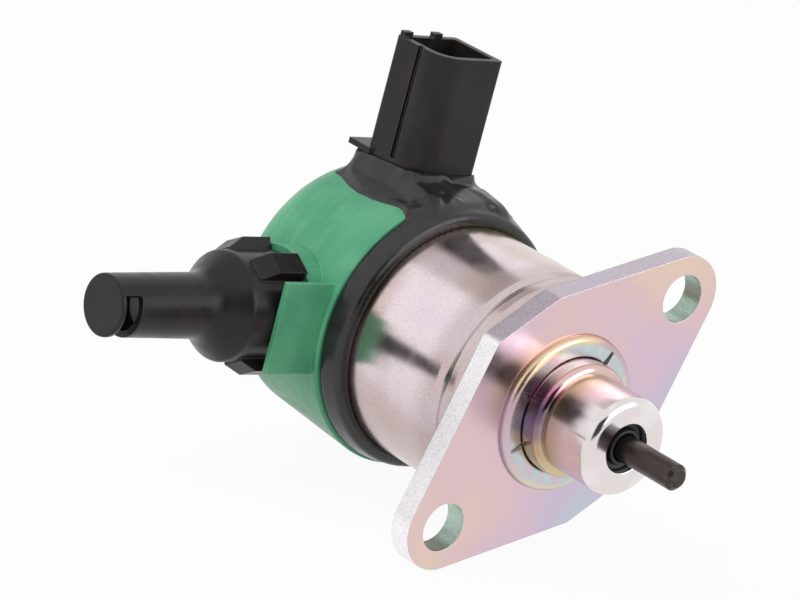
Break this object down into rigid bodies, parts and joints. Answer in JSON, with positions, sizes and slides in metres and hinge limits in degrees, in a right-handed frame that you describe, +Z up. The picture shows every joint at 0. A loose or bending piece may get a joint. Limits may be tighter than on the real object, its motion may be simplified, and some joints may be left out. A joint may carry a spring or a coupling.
{
  "type": "fuel shutoff solenoid",
  "caption": "Flange mounted shutoff solenoid with a sprung pin in a steel nose, a blade socket on top and a breather on the moulded end cap.",
  "frame": {"origin": "centre of the mounting flange's front face, on the plunger's axis", "axes": "+X along the plunger, out of the nose into the engine; +Z up the electrical connector; -Y out of the vent"},
  "size_m": [0.091, 0.0879, 0.0739],
  "materials": {
    "flange_plate": "zinc plated and passivated, iridescent",
    "can_steel": "plated, satin",
    "yoke_steel": "zinc plated, bright",
    "nose_steel": "drawn and plated, satin",
    "core_iron": "machined, plain",
    "pin_steel": "ground and hardened, dark",
    "spring_steel": "oiled wire",
    "sleeve_brass": "drawn, bright",
    "copper_wire": "enamelled copper",
    "bobbin_plastic": "moulded, plain",
    "wrap_tape": "polyester tape",
    "bush_plastic": "sintered",
    "seal_rubber": "moulded, matte",
    "cap_plastic": "moulded, green, satin",
    "boot_rubber": "moulded, glossy black",
    "connector_plastic": "moulded, black",
    "vent_plastic": "moulded, black, satin",
    "filter_media": "porous, white",
    "terminal_tin": "tin plated",
    "lead_insulation": "extruded sleeve"
  },
  "bodies": {
    "solenoid": {"mounting_flange": "flange_plate", "case_can": "can_steel", "front_yoke": "yoke_steel", "nose_cup": "nose_steel", "front_stop_washer": "core_iron", "pin_bush": "bush_plastic", "rod_seal": "seal_rubber", "return_spring": "spring_steel", "guide_sleeve": "sleeve_brass", "fixed_core": "core_iron", "residual_washer": "sleeve_brass", "rear_yoke": "core_iron", "bobbin": "bobbin_plastic", "pull_in_coil": "copper_wire", "hold_in_coil": "copper_wire", "coil_wrap": "wrap_tape", "end_cap": "cap_plastic", "sealing_boot": "boot_rubber", "connector_housing": "connector_plastic", "cap_seal_ring": "seal_rubber", "vent_cap": "vent_plastic", "vent_o_ring": "seal_rubber", "vent_filter": "filter_media", "terminal_1": "terminal_tin", "terminal_2": "terminal_tin", "terminal_3": "terminal_tin", "lead_1": "lead_insulation", "lead_2": "lead_insulation", "lead_3": "lead_insulation"},
    "plunger": {"plunger_pin": "pin_steel", "armature": "core_iron"}
  },
  "joints": [
    {"name": "pin_slide", "type": "slide", "parent": "solenoid", "child": "plunger", "axis": [-1, 0, 0], "range_m": [0, 0.0065], "stiffness_N_per_m": 1000, "springref_m": -0.008, "deforming": ["return_spring"]}
  ]
}
